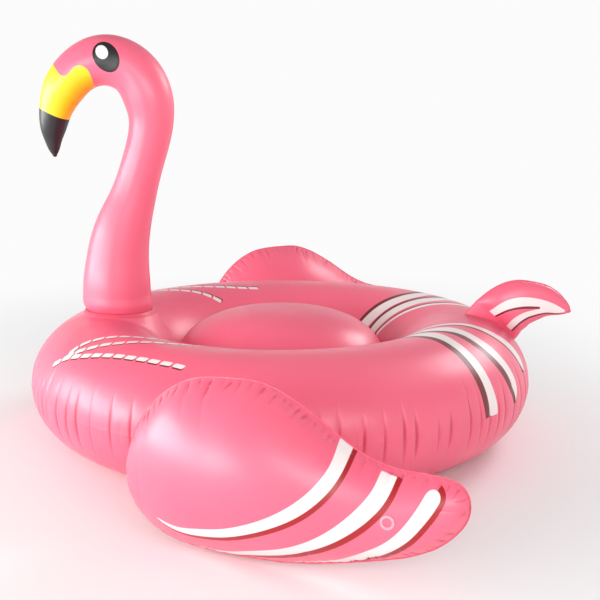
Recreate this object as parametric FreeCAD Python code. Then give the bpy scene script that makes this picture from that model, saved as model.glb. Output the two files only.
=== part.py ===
import FreeCAD, Part
import math
import os
from FreeCAD import Vector as V

# Ride-on pool float shaped like a flamingo. Millimetres, Z up, the bird faces -Y, +X is its left.
# Every chamber is a closed bag of film panels; WALL is thicker than the real 0.3 mm film.

WALL = 2.0            # film panels
WELD = 2.4            # two or more films welded together
SHIFT_Y = -64.0       # moves the ring's centre so that the whole float is centred on the origin

RING_PATH_X = 501.0   # centre line of the tube, a slightly long oval
RING_PATH_Y = 556.0
TUBE_A = 219.0        # half width of the tube's section
TUBE_B = 192.0        # half height
TUBE_Z = 190.5        # 1.5 mm lower than TUBE_B, so the tube sits on a flat strip
BASE_TRIM = 0.4       # taken off the strip afterwards, so it is a true plane

SEAT_GAP = 1.8
SEAT_RISE = 206.0     # cushion above the inner weld
SEAT_DROP = 140.0     # cushion below it
SEAT_POWER = 2.5

NECK_FOOT_Y = -516.0
NECK_FOOT_R = 106.0
COLLAR_TOP = 424.0
NECK_START = 438.0
FLANGE = 5.0          # how far a weld stands proud of the panels it joins

WING_AT_X = 966.0     # wing plane's distance from the mid-plane
WING_YAW = 21.64      # wings open towards the tail
WING_Z = 200.0
WING_PLUMP = 0.68     # half thickness over half height
HANG_FROM = 220.0     # where the right wing's tip starts to hang
HANG_SLOPE = 0.21
HANG_SOFT = 40.0
WING_VALVE_H = 336.0
TAIL_PLUMP = 0.46
TAIL_ROOT = 0.14      # share of its fullness that the tail has at its root
TAIL_SWELLS = 7       # stations, of 27, over which it fills out

TAB = 6.0             # depth of the tail's root tab
HINGE_GAP = 3.0       # unwelded film between two tabs

# Neck and head centre line: y, z, radius, from the neck's foot to the beak's tip
NECK_LINE = [(-516, 438, 106), (-515, 481, 104), (-510, 545, 97.3), (-500, 609, 90.8),
             (-482, 672, 82), (-459, 735, 71.5), (-439, 796, 65.4), (-420, 857, 63.7),
             (-402, 918, 64.5), (-392, 979, 68), (-400, 1048, 75), (-440, 1121, 75),
             (-530, 1157, 74.5), (-617, 1120, 67.5), (-657, 1072, 63), (-682, 1016, 51.5),
             (-691, 977, 44), (-695, 943, 35.7), (-695.5, 913, 24.5), (-694, 886, 14),
             (-693, 873, 6)]

# Tail blade centre line: y, z, half width, from its root to its tip
TAIL_LINE = [(678, 366, 85), (702, 391, 81), (727, 407, 79), (753, 417, 74), (783, 422, 64),
             (816, 423, 53.5), (845, 417.5, 41), (873, 406.5, 27), (889, 399.5, 17),
             (897.5, 395, 9), (901, 393, 4)]

# Wing outline in the wing's own plane: rearwards, upwards
WING_EDGE = [(-345, 0), (-318, 92), (-244, 182), (-160, 228), (-67, 239), (5, 238), (98, 202),
             (176, 153), (246, 109), (338, 83), (430, 79), (479, 62), (494, 20), (470, -38),
             (421, -83), (273, -140), (79, -181), (-44, -189), (-167, -186), (-272, -157),
             (-328, -95)]


def save(shape, name):
    shape = shape.copy()
    shape.translate(V(0, SHIFT_Y, 0))
    if shape.ShapeType == "Compound" and len(shape.Solids) == 1:
        shape = shape.Solids[0]
    shape.exportStep("parts/" + name + ".step")


def mirrored(shape):
    return shape.mirror(V(0, 0, 0), V(1, 0, 0))


def spline_edge(points):
    curve = Part.BSplineCurve()
    curve.interpolate(points)
    return curve.toShape()


def crescent(origin, across, out, half, thick, lift):
    """Closed section of one film panel: an outer arc, an inner arc and the two welded edges."""
    inner_half = max(half - 3.0, half * 0.55)
    inner_thick = max(thick - WALL, thick * 0.25)

    def at(u, w):
        return origin + across * u + out * (w + lift)

    outer = Part.Arc(at(-half, 0), at(0, thick), at(half, 0)).toShape()
    inner = Part.Arc(at(inner_half, 0), at(0, inner_thick), at(-inner_half, 0)).toShape()
    side_a = Part.makeLine(at(half, 0), at(inner_half, 0))
    side_b = Part.makeLine(at(-inner_half, 0), at(-half, 0))
    return Part.Wire([outer, side_a, inner, side_b])


def stations(line, count):
    """Points along a centre line with their width and direction."""
    curve = Part.BSplineCurve()
    curve.interpolate([V(r, y, z) for y, z, r in line])
    first, last = curve.FirstParameter, curve.LastParameter
    result = []
    for i in range(count):
        u = first + (last - first) * i / (count - 1)
        p = curve.value(u)
        d = curve.tangent(u)[0]
        along = V(0, d.y, d.z)
        along.normalize()
        result.append((V(0, p.y, p.z), p.x, along))
    return result


def panel(sections, plump, side):
    """One half of a tapering bag that follows a centre line in the mid-plane."""
    wires = []
    for place, half, along, factor in sections:
        across = V(0, along.z, -along.y)
        wires.append(crescent(place, across, V(side, 0, 0), half, half * plump * factor, WELD / 2))
    return Part.makeLoft(wires, True, False)


def band(sections, proud, inside, root_reach=0.0, root_keep=0.0):
    """Flat weld that runs up one edge of a bag, round its tip and back, and across its root."""
    def loop(amount, keep, reach):
        used = [s for s in sections if s[1] + amount > keep]
        left = []
        right = []
        for place, half, along, factor in used:
            across = V(0, along.z, -along.y)
            left.append(place + across * (half + amount))
            right.append(place - across * (half + amount))
        place, half, along, factor = used[-1]
        tip = place + along * (half + amount)
        edges = [spline_edge(left), Part.Arc(left[-1], tip, right[-1]).toShape()]
        edges.append(spline_edge(list(reversed(right))))
        corners = [right[0], left[0]]
        if reach:
            down = used[0][2] * reach
            corners = [right[0], right[0] + down, left[0] + down, left[0]]
        for a, b in zip(corners, corners[1:]):
            edges.append(Part.makeLine(a, b))
        shape = Part.Face(Part.Wire(edges)).extrude(V(WELD, 0, 0))
        shape.translate(V(-WELD / 2, 0, 0))
        return shape

    inner = loop(-inside, 2.0, 0.0)
    if root_keep:
        inner.translate(sections[0][2] * root_keep)
    return loop(proud, 0, -root_reach).cut(inner)


# ---------------------------------------------------------------- ring tube
def ring_path():
    oval = Part.Ellipse(V(0, RING_PATH_Y, 0), V(RING_PATH_X, 0, 0), V(0, 0, 0))
    return Part.Wire([oval.toShape()])


def section(grow, floor):
    """Tube section at the rear of the ring, cut off flat at the floor."""
    a = TUBE_A + grow
    b = TUBE_B + grow
    centre = V(0, RING_PATH_Y, TUBE_Z)
    oval = Part.Ellipse(centre + V(0, a, 0), centre + V(0, 0, b), centre)
    face = Part.Face(Part.Wire([oval.toShape()]))
    return face.common(slab(floor, TUBE_Z + b + 50))


def slab(low, high, near=-300.0, far=300.0):
    y0 = RING_PATH_Y + near
    y1 = RING_PATH_Y + far
    corners = [V(0, y0, low), V(0, y1, low), V(0, y1, high), V(0, y0, high), V(0, y0, low)]
    return Part.Face(Part.makePolygon(corners))


def swept(face):
    solid = ring_path().makePipeShell([face.Faces[0].OuterWire], True, True)
    return Part.Solid(solid) if solid.ShapeType == "Shell" else solid


TOP_WELD = TUBE_Z + WELD / 2
LOW_WELD = TUBE_Z - WELD / 2
film = section(0, -BASE_TRIM).cut(section(-WALL, WALL))
below_floor = Part.makeBox(3000, 3000, 50, V(-1500, -1500, -50))
ring_upper = swept(film.common(slab(TOP_WELD, 600)))
ring_lower = swept(film.common(slab(-10, LOW_WELD))).cut(below_floor)
ring_weld = swept(slab(LOW_WELD, TOP_WELD, TUBE_A - 10, TUBE_A + 1.2))
ring_solid = swept(section(0, 0))
ring_grown = swept(section(WALL, 0))

# ---------------------------------------------------------------- seat cushion
SEAT_Y = RING_PATH_Y - TUBE_A - SEAT_GAP
SEAT_X = RING_PATH_X - TUBE_A - SEAT_GAP


def dome_face(rise, base):
    """Half section of the cushion's film; rise is negative for the underside."""
    sign = 1.0 if rise > 0 else -1.0

    def rim(reach, height):
        points = []
        for i in range(15):
            turn = math.radians(90.0 * i / 14)
            r = reach * math.cos(turn) ** (2 / SEAT_POWER)
            points.append(V(r, 0, base + sign * height * math.sin(turn) ** (2 / SEAT_POWER)))
        return points

    outer = rim(SEAT_Y, abs(rise))
    inner = rim(SEAT_Y - WALL, abs(rise) - WALL)
    edges = [spline_edge(outer), Part.makeLine(outer[-1], inner[-1])]
    edges += [spline_edge(list(reversed(inner))), Part.makeLine(inner[0], outer[0])]
    return Part.Face(Part.Wire(edges))


def oval_turn(face):
    round_one = face.revolve(V(0, 0, 0), V(0, 0, 1), 360)
    squash = FreeCAD.Matrix()
    squash.scale(V(SEAT_X / SEAT_Y, 1, 1))
    return round_one.transformGeometry(squash)


seat_upper = oval_turn(dome_face(SEAT_RISE, TOP_WELD))
seat_lower = oval_turn(dome_face(-SEAT_DROP, LOW_WELD))
seat_rim = swept(slab(LOW_WELD, TOP_WELD, -TUBE_A - 12, -TUBE_A + 10))

# ---------------------------------------------------------------- neck, head and beak
def pipe_z(r_out, r_in, low, high, y):
    outer = Part.makeCylinder(r_out, high - low, V(0, y, low))
    return outer.cut(Part.makeCylinder(r_in, high - low, V(0, y, low)))


neck_foot = pipe_z(NECK_FOOT_R + 17, NECK_FOOT_R - 8, 250, 500, NECK_FOOT_Y)
neck_foot = neck_foot.common(ring_grown).cut(ring_solid)
neck_collar = pipe_z(NECK_FOOT_R, NECK_FOOT_R - WALL, 250, COLLAR_TOP, NECK_FOOT_Y).cut(ring_grown)

neck_sections = [(p, r, d, 1.0) for p, r, d in stations(NECK_LINE, 41)]
neck_left = panel(neck_sections, 1.0, 1)
neck_right = mirrored(neck_left)
neck_seam = band(neck_sections, 3.0, 5.0)
neck_seam = neck_seam.cut(Part.makeBox(400, 400, 40, V(-200, NECK_FOOT_Y - 200, NECK_START - 40)))
neck_seam = neck_seam.cut(Part.makeBox(400, 180, 20, V(-200, NECK_FOOT_Y - 90, NECK_START - 4)))

# ---------------------------------------------------------------- tail
tail_sections = []
for i, (p, r, d) in enumerate(stations(TAIL_LINE, 27)):
    flatter = 1 - min(1.0, i / TAIL_SWELLS)
    tail_sections.append((p, r, d, 1 - (1 - TAIL_ROOT) * flatter ** 2))
left_half = Part.makeBox(300, 600, 600, V(WELD / 2, 500, 200))
tail_left = panel(tail_sections, TAIL_PLUMP, 1).common(left_half)
tail_left = max(tail_left.Solids, key=lambda s: s.Volume)
tail_right = mirrored(tail_left)
tail_seam = band(tail_sections, FLANGE, 5.0, TAB, TAB)
root_place, root_half, root_along, factor = tail_sections[0]
hinge_low = root_place - root_along * (TAB + HINGE_GAP)
root_across = V(0, root_along.z, -root_along.y)
tab = [hinge_low - root_across * 88, hinge_low + root_across * 88]
tab += [tab[1] - root_along * 40, tab[0] - root_along * 40, tab[0]]
tail_web = Part.Face(Part.makePolygon(tab))
tail_web.translate(V(-WELD / 2, 0, 0))
tail_web = tail_web.extrude(V(WELD, 0, 0)).cut(ring_solid)
tail_web = max(tail_web.Solids, key=lambda s: s.Volume)

# ---------------------------------------------------------------- wings
yaw = math.radians(WING_YAW)
W_OUT = V(math.cos(yaw), -math.sin(yaw), 0)
W_BACK = V(math.sin(yaw), math.cos(yaw), 0)
W_UP = V(0, 0, 1)
W_O = V(WING_AT_X, 0, WING_Z)


def on_wing(h, v, w=0.0):
    return W_O + W_BACK * h + W_UP * v + W_OUT * w


class Wing:
    """One wing built on the left side; the right one hangs a little at its tip and is mirrored."""

    def __init__(self, outline):
        self.curve = Part.BSplineCurve()
        self.curve.interpolate([on_wing(h, v) for h, v in outline], True)
        self.points = self.curve.toShape().discretize(900)
        self.h = [(p - W_O).dot(W_BACK) for p in self.points]
        self.outer = self.panel(1)
        self.inner = self.panel(-1)
        self.seam = self.loop(FLANGE).extrude(W_OUT * WELD)
        self.seam = self.seam.cut(self.loop(-FLANGE).extrude(W_OUT * WELD))
        self.seam.translate(W_OUT * (-WELD / 2))
        self.tab = tab_plate(HINGE_GAP / 2, 150).cut(self.inner)
        self.tab = min(self.tab.Solids, key=lambda s: s.BoundBox.Center.x)

    def rows(self, h):
        """Top and bottom of the wing's outline at one station."""
        found = []
        for i in range(len(self.points) - 1):
            here, there = self.h[i], self.h[i + 1]
            if (here - h) * (there - h) <= 0 and here != there:
                k = (h - here) / (there - here)
                low = self.points[i].z
                found.append(low + k * (self.points[i + 1].z - low))
        return max(found) - WING_Z, min(found) - WING_Z

    def panel(self, side):
        wires = []
        count = 27
        first, last = min(self.h), max(self.h)
        for i in range(count):
            turn = math.pi * i / (count - 1)
            h = (first + last) / 2 - (last - first) / 2 * math.cos(turn)
            h = min(max(h, first + 0.25), last - 0.25)
            top, low = self.rows(h)
            half = (top - low) / 2
            place = on_wing(h, (top + low) / 2)
            thick = half * WING_PLUMP
            wires.append(crescent(place, W_UP, W_OUT * side, half, thick, WELD / 2))
        return Part.makeLoft(wires, True, False)

    def loop(self, amount, count=64):
        """The wing's outline moved outwards in its own plane."""
        first, last = self.curve.FirstParameter, self.curve.LastParameter
        moved = []
        for i in range(count):
            u = first + (last - first) * i / count
            outward = self.curve.tangent(u)[0].cross(W_OUT).normalize()
            if i == 0:
                sign = 1.0 if outward.dot(self.curve.value(u) - W_O) > 0 else -1.0
            moved.append(self.curve.value(u) + outward * (amount * sign))
        curve = Part.BSplineCurve()
        curve.interpolate(moved, True)
        return Part.Face(Part.Wire([curve.toShape()]))


def hang(h):
    """How far the right wing's tip hangs lower than the left one's."""
    x = h - HANG_FROM
    return HANG_SLOPE * (x + math.hypot(x, HANG_SOFT)) / 2


# Hinge: one tab stands out from the ring's equator, the other from the wing's inner panel
HINGE_A = V(737.5, -233, TUBE_Z)
HINGE_B = V(773, -12, TUBE_Z)
hinge_dir = (HINGE_B - HINGE_A).normalize()
hinge_out = V(hinge_dir.y, -hinge_dir.x, 0)


def tab_plate(start, reach):
    base = V(0, 0, -WELD / 2)
    a = HINGE_A + hinge_out * start + base
    b = HINGE_B + hinge_out * start + base
    c = b + hinge_out * reach
    d = a + hinge_out * reach
    return Part.Face(Part.makePolygon([a, b, c, d, a])).extrude(V(0, 0, WELD))


ring_web = tab_plate(-HINGE_GAP / 2, -140).cut(ring_solid.fuse(ring_weld))
ring_web = max(ring_web.Solids, key=lambda s: s.BoundBox.Center.x)
left_wing = Wing(WING_EDGE)
right_wing = Wing([(h, v - hang(h)) for h, v in WING_EDGE])


# ---------------------------------------------------------------- inflation valves
def turned(shape, point, normal):
    shape = shape.copy()
    shape.Placement = FreeCAD.Placement(point, FreeCAD.Rotation(V(0, 0, 1), normal))
    return shape


def rod(r, low, high):
    return Part.makeCylinder(r, high - low, V(0, 0, low))


def landing(skin, aim):
    """Nearest point of a panel to an aim point, and the panel's normal there."""
    gap, pairs, info = skin.distToShape(Part.Vertex(aim))
    point = pairs[0][0]
    normal = aim - point
    normal.normalize()
    return point, normal


def valve(name, skin, aim, k, flip=False):
    """Recessed pinch valve: base welded in the film, stem, check flap, plug and its strap."""
    point, normal = landing(skin, aim)
    skin = skin.cut(turned(rod(11.4 * k, -16, 16), point, normal))
    base = rod(16 * k, -2.6, 1.0).fuse(rod(11.2 * k, -14 * k, 0))
    base = base.cut(rod(10.2 * k, -12.5 * k, 2)).cut(rod(7.8 * k, -20 * k, 0))
    stem = rod(7.5 * k, -27.5 * k, -3.2 * k).fuse(rod(9.4 * k, -27.5 * k, -26 * k))
    stem = stem.cut(rod(4.75 * k, -28 * k, 0))
    flap = rod(6.5 * k, -28.8 * k, -27.8 * k)
    plug = rod(8.5 * k, -3.0 * k, -1.2 * k).fuse(rod(4.75 * k - 0.1, -11 * k, -3.0 * k))
    strap = Part.makeBox(1.0 * k, 4 * k, 7.4 * k, V(8.8 * k, -2 * k, -9 * k))
    strap = strap.fuse(Part.makeBox(2.8 * k, 4 * k, 1.0 * k, V(7.0 * k, -2 * k, -9 * k))).cut(stem)
    base = turned(base, point, normal).cut(skin)
    base = max(base.Solids, key=lambda s: s.Volume)
    pieces = [(base, "base")]
    for shape, part in ((stem, "stem"), (flap, "flap"), (plug, "plug"), (strap, "tether")):
        pieces.append((turned(shape.removeSplitter(), point, normal), part))
    for shape, part in pieces:
        save(mirrored(shape) if flip else shape, name + "_valve_" + part)
    return skin


os.makedirs("parts", exist_ok=True)
ring_upper = valve("ring", ring_upper, V(-760, 330, 420), 1.6)
seat_upper = mirrored(valve("seat", seat_upper, V(330, 60, 520), 1.0, flip=True))
neck_right = valve("neck", neck_right, V(-300, -500, 560), 1.0)
tail_right = valve("tail", tail_right, V(-150, 760, 425), 1.0)
for wing, name, flip in ((left_wing, "wing_left", False), (right_wing, "wing_right", True)):
    top, low = wing.rows(WING_VALVE_H)
    aim = on_wing(WING_VALVE_H, (top + low) / 2 + 9, (top - low) / 2 * WING_PLUMP + 8)
    wing.outer = valve(name, wing.outer, aim, 1.0, flip)
    for shape, part in ((wing.outer, "outer_skin"), (wing.inner, "inner_skin"),
                        (wing.seam, "seam"), (wing.tab, "hinge_tab")):
        save(mirrored(shape) if flip else shape, name + "_" + part)

save(ring_upper, "ring_upper_skin")
save(ring_lower, "ring_lower_skin")
save(ring_weld, "ring_outer_weld")
save(seat_upper, "seat_upper_skin")
save(seat_lower, "seat_lower_skin")
save(seat_rim, "seat_rim_weld")
save(neck_foot, "neck_foot_weld")
save(neck_collar, "neck_collar")
save(neck_left, "neck_left_skin")
save(neck_right, "neck_right_skin")
save(neck_seam, "neck_seam")
save(tail_left, "tail_left_skin")
save(tail_right, "tail_right_skin")
save(tail_seam, "tail_seam")
save(tail_web, "tail_root_weld")
save(ring_web, "ring_left_web")
save(mirrored(ring_web), "ring_right_web")
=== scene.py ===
import math
import bpy
import numpy as np
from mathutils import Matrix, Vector


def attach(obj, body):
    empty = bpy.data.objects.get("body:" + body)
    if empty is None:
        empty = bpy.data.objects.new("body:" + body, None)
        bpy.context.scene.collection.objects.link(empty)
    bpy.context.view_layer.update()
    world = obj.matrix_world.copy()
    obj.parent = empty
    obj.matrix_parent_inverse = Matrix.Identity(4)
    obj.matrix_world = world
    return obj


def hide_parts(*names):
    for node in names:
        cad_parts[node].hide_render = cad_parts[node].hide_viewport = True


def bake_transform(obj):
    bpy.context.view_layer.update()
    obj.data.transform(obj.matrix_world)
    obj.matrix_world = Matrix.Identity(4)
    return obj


# Inflated ride-on bird float. Metres, Z up, the bird faces -Y, +X is its left side.

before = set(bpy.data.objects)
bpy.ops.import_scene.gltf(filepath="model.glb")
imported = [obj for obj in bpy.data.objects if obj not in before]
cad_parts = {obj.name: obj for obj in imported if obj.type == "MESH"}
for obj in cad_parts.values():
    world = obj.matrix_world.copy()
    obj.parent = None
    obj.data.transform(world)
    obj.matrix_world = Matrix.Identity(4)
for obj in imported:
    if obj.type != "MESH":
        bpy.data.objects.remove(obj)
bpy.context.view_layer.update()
PI = math.pi

SHIFT_Y = -0.064          # ring centre in the row frame
PATH_X, PATH_Y = 0.501, 0.556
TUBE_A, TUBE_B, TUBE_Z = 0.219, 0.192, 0.1905
SEAT_X, SEAT_Y = 0.2802, 0.3352
SEAT_RISE, SEAT_DROP, SEAT_POWER = 0.206, 0.140, 2.5
SEAT_MEAN = 0.31          # mean radius of the cushion's rim
NECK_FOOT_Y = -0.516

NECK_LINE = np.array([
    (-516, 438, 106), (-515, 481, 104), (-510, 545, 97.3), (-500, 609, 90.8),
    (-482, 672, 82), (-459, 735, 71.5), (-439, 796, 65.4), (-420, 857, 63.7),
    (-402, 918, 64.5), (-392, 979, 68), (-400, 1048, 75), (-440, 1121, 75),
    (-530, 1157, 74.5), (-617, 1120, 67.5), (-657, 1072, 63), (-682, 1016, 51.5),
    (-691, 977, 44), (-695, 943, 35.7), (-695.5, 913, 24.5), (-694, 886, 14),
    (-693, 873, 6)]) / 1000
TAIL_LINE = np.array([
    (678, 366, 85), (702, 391, 81), (727, 407, 79), (753, 417, 74), (783, 422, 64),
    (816, 423, 53.5), (845, 417.5, 41), (873, 406.5, 27), (889, 399.5, 17),
    (897.5, 395, 9), (901, 393, 4)]) / 1000
WING_EDGE = np.array([
    (-345, 0), (-318, 92), (-244, 182), (-160, 228), (-67, 239), (5, 238), (98, 202),
    (176, 153), (246, 109), (338, 83), (430, 79), (479, 62), (494, 20), (470, -38),
    (421, -83), (273, -140), (79, -181), (-44, -189), (-167, -186), (-272, -157),
    (-328, -95)]) / 1000
WING_AT_X, WING_YAW, WING_Z, WING_PLUMP = 0.966, math.radians(21.64), 0.200, 0.68
WING_SLIM, WING_SLIM_TO = 0.24, -0.02    # the front of the wing bulges less
TAIL_PLUMP = 0.46


# ------------------------------------------------------------------ small tools
def spline(points, count, closed=False):
    """Cubic spline through the points, evenly spaced along its length."""
    pts = np.asarray(points, float)
    if closed:
        pts = np.vstack([pts[-3:], pts, pts[:4]])
    n = len(pts)
    k = np.concatenate([[0], np.cumsum(np.linalg.norm(np.diff(pts, axis=0), axis=1))])
    h = np.diff(k)
    m = np.zeros((n, n))
    rhs = np.zeros((n, pts.shape[1]))
    m[0, 0] = m[-1, -1] = 1
    for i in range(1, n - 1):
        m[i, i - 1:i + 2] = h[i - 1], 2 * (h[i - 1] + h[i]), h[i]
        rhs[i] = 6 * ((pts[i + 1] - pts[i]) / h[i] - (pts[i] - pts[i - 1]) / h[i - 1])
    bend = np.linalg.solve(m, rhs)

    def value(x):
        i = np.clip(np.searchsorted(k, x) - 1, 0, n - 2)
        a = ((k[i + 1] - x) / h[i])[:, None]
        b = 1 - a
        hh = h[i][:, None] ** 2 / 6
        return a * pts[i] + b * pts[i + 1] + ((a ** 3 - a) * bend[i] + (b ** 3 - b) * bend[i + 1]) * hh

    lo, hi = (k[3], k[-4]) if closed else (k[0], k[-1])
    fine = np.linspace(lo, hi, count * 12)
    dense = value(fine)
    run = np.concatenate([[0], np.cumsum(np.linalg.norm(np.diff(dense, axis=0), axis=1))])
    even = np.linspace(0, run[-1], count + 1 if closed else count)
    out = value(np.interp(even, run, fine))
    return out[:-1] if closed else out


def unit(v):
    return v / np.maximum(np.linalg.norm(v, axis=-1, keepdims=True), 1e-12)


def grid_normals(p, wrap_u=False):
    if wrap_u:
        du = np.roll(p, -1, 0) - np.roll(p, 1, 0)
    else:
        du = np.gradient(p, axis=0)
    dv = np.gradient(p, axis=1)
    return unit(np.cross(du, dv))


def grid_piece(name, p, body, material, wrap_u=False, flip=False, fields=None, nodes=()):
    """A smooth quad sheet from a grid of points, with scalar fields its material reads."""
    nu, nv = p.shape[:2]
    iu = np.arange(nu if wrap_u else nu - 1)
    iv = np.arange(nv - 1)
    a, b = np.meshgrid(iu, iv, indexing="ij")
    c = (a + 1) % nu
    quads = np.stack([a * nv + b, c * nv + b, c * nv + b + 1, a * nv + b + 1], -1).reshape(-1, 4)
    if flip:
        quads = quads[:, ::-1]
    mesh = bpy.data.meshes.new(name)
    flat = p.reshape(-1, 3)
    mesh.vertices.add(len(flat))
    mesh.vertices.foreach_set("co", flat.astype(np.float32).ravel())
    mesh.loops.add(quads.size)
    mesh.loops.foreach_set("vertex_index", quads.astype(np.int32).ravel())
    mesh.polygons.add(len(quads))
    mesh.polygons.foreach_set("loop_start", (np.arange(len(quads)) * 4).astype(np.int32))
    mesh.update(calc_edges=True)
    mesh.polygons.foreach_set("use_smooth", np.ones(len(quads), bool))
    for key, values in (fields or {}).items():
        mesh.attributes.new(key, "FLOAT", "POINT").data.foreach_set(
            "value", np.asarray(values, np.float32).ravel())
    mesh.validate()
    obj = bpy.data.objects.new(name, mesh)
    bpy.context.scene.collection.objects.link(obj)
    mesh.materials.append(material)
    if body:
        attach(obj, body)
    if nodes:
        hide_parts(*nodes)
    return obj


def nearest(points, curve, chunk=20000):
    """Distance to a dense curve and the index of its nearest sample."""
    dist = np.empty(len(points))
    index = np.empty(len(points), int)
    for i in range(0, len(points), chunk):
        part = points[i:i + chunk]
        d2 = ((part[:, None, :] - curve[None, :, :]) ** 2).sum(-1)
        index[i:i + chunk] = d2.argmin(1)
        dist[i:i + chunk] = np.sqrt(d2.min(1))
    return dist, index


def side_distance(points, curve):
    """Signed distance in a plane from an open curve: positive on its left."""
    dist, index = nearest(points, curve)
    j = np.clip(index, 0, len(curve) - 2)
    along = curve[j + 1] - curve[j]
    away = points - curve[index]
    return dist * np.sign(along[:, 0] * away[:, 1] - along[:, 1] * away[:, 0])


def bump(x):
    """Smooth hump, 1 at x = 0 and 0 from |x| = 1."""
    return np.clip(1 - x * x, 0, None) ** 2


def creases(x, y, length, spacing, depth, width, reach, slant=0.1, seed=1):
    """Folds that cross a seam: x runs along the seam (period length), y away from it."""
    r = np.random.default_rng(seed)
    field = np.zeros_like(x)
    at = 0.0
    while at < length - spacing[0] * 0.5:
        d = r.uniform(*depth)
        w = r.uniform(*width)
        ln = r.uniform(*reach)
        y0 = r.uniform(-0.15, 0.15) * ln
        lean = r.uniform(-slant, slant)
        gap = x - at - lean * y
        gap = np.abs((gap + length / 2) % length - length / 2)
        near = gap < 8 * w
        field[near] -= d * np.exp(-(gap[near] / w) ** 0.8) * bump((y[near] - y0) / ln)
        at += r.uniform(*spacing)
    return field


# ------------------------------------------------------------------ materials
PINK = (0.87, 0.135, 0.222, 1)
WHITE = (0.82, 0.72, 0.71, 1)
MAROON = (0.16, 0.0, 0.004, 1)
CRIMSON = (0.36, 0.0, 0.004, 1)


class Nodes:
    """Short hand for building a node tree."""

    def __init__(self, name):
        self.material = bpy.data.materials.new(name)
        self.material.use_nodes = True
        self.tree = self.material.node_tree
        self.shader = self.tree.nodes["Principled BSDF"]

    def add(self, kind, inputs=None, **settings):
        node = self.tree.nodes.new(kind)
        for key, value in settings.items():
            setattr(node, key, value)
        for key, value in (inputs or {}).items():
            self.feed(node.inputs[key], value)
        return node

    def feed(self, socket, value):
        if hasattr(value, "is_output"):
            self.tree.links.new(value, socket)
        else:
            socket.default_value = value

    def field(self, name):
        return self.add("ShaderNodeAttribute", attribute_name=name).outputs["Fac"]

    def inside(self, field, edge=0.0006):
        """1 where a distance field is negative, with a sharp printed edge."""
        node = self.add("ShaderNodeMapRange", {"Value": field, "From Min": -edge, "From Max": edge,
                                               "To Min": 1.0, "To Max": 0.0})
        return node.outputs[0]

    def ramp(self, value, low, high, a=0.0, b=1.0):
        """a below low and b above high, with an eased step between them."""
        node = self.add("ShaderNodeMapRange", {"Value": value, "From Min": low, "From Max": high,
                                               "To Min": a, "To Max": b}, interpolation_type="SMOOTHSTEP")
        return node.outputs[0]

    def mix(self, factor, a, b):
        node = self.add("ShaderNodeMix", data_type="RGBA")
        self.feed(node.inputs[0], factor)
        self.feed(node.inputs[6], a)
        self.feed(node.inputs[7], b)
        return node.outputs[2]

    def noise(self, scale, detail):
        place = self.add("ShaderNodeTexCoord").outputs["Object"]
        return self.add("ShaderNodeTexNoise", {"Vector": place, "Scale": scale, "Detail": detail,
                                               "Roughness": 0.5}).outputs["Fac"]


CLOUDED, PAINTED_FOLD_SHADE = (0.93, 0.84, 0.88), (0.66, 0.30, 0.38)    # random clouding of the film's own colour, and the painted shade that darkens it inside folds


def shade(colour, share):
    return tuple(c * k for c, k in zip(colour[:3], share)) + (1,)


def film(name, base=PINK, inks=(), rough=0.40, extra=None):
    """Satin PVC film with printed inks: each ink is (distance field, colour)."""
    n = Nodes(name)
    cloud = n.ramp(n.noise(2.2, 3.0), 0.3, 0.7)
    grain = n.noise(420.0, 1.0)
    colour = n.mix(cloud, base, shade(base, CLOUDED))
    painted_fold_shade = shade(base, PAINTED_FOLD_SHADE)
    # painted shade: the colour turns deep red inside creases, more so the deeper the fold
    colour = n.mix(n.ramp(n.field("fold"), 0.0012, 0.0060, 0.0, 0.75), colour, painted_fold_shade)
    if extra:
        colour = extra(n, colour)
    for field_name, ink in inks:
        colour = n.mix(n.inside(n.field(field_name)), colour, ink)
    n.feed(n.shader.inputs["Base Color"], colour)
    n.feed(n.shader.inputs["Roughness"], n.ramp(n.noise(9.0, 4.0), 0.3, 0.7, rough - 0.05, rough + 0.06))
    n.shader.inputs["Specular IOR Level"].default_value = 0.65
    n.shader.inputs["Coat Weight"].default_value = 0.15
    n.shader.inputs["Coat Roughness"].default_value = 0.25
    n.shader.inputs["Subsurface Weight"].default_value = 0.08
    n.shader.inputs["Subsurface Radius"].default_value = (0.003, 0.001, 0.001)
    n.shader.inputs["Subsurface Scale"].default_value = 1.0
    bumps = n.add("ShaderNodeBump", {"Height": grain, "Strength": 0.05, "Distance": 0.0004})
    n.feed(n.shader.inputs["Normal"], bumps.outputs[0])
    return n.material


# ------------------------------------------------------------------ ring tube
def ring_point(t, s, grow=0.0):
    """Point of the tube: t runs round the ring from the tail, s round the tube from outside."""
    nx, ny = PATH_Y * np.sin(t), PATH_X * np.cos(t)
    size = np.hypot(nx, ny)
    nx, ny = nx / size, ny / size
    out = TUBE_A * np.cos(s)
    up = TUBE_B * np.sin(s)
    sn = unit(np.stack([np.cos(s) / TUBE_A, np.sin(s) / TUBE_B], -1))
    out = out + grow * sn[..., 0]
    up = up + grow * sn[..., 1]
    x = PATH_X * np.sin(t) + out * nx
    y = PATH_Y * np.cos(t) + out * ny + SHIFT_Y
    return np.stack([x, y, np.maximum(TUBE_Z + up, 0.0)], -1)


T_COUNT = 2400
t_fine = np.linspace(0, 2 * PI, T_COUNT, endpoint=False)
edge_outer = ring_point(t_fine, np.zeros(T_COUNT))
RING_RUN = np.linalg.norm(edge_outer - np.roll(edge_outer, 1, 0), axis=1)
RING_LENGTH = RING_RUN.sum()
RING_AT = np.cumsum(RING_RUN)
RING_PATH = np.stack([PATH_X * np.sin(t_fine), PATH_Y * np.cos(t_fine) + SHIFT_Y], -1)


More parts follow.
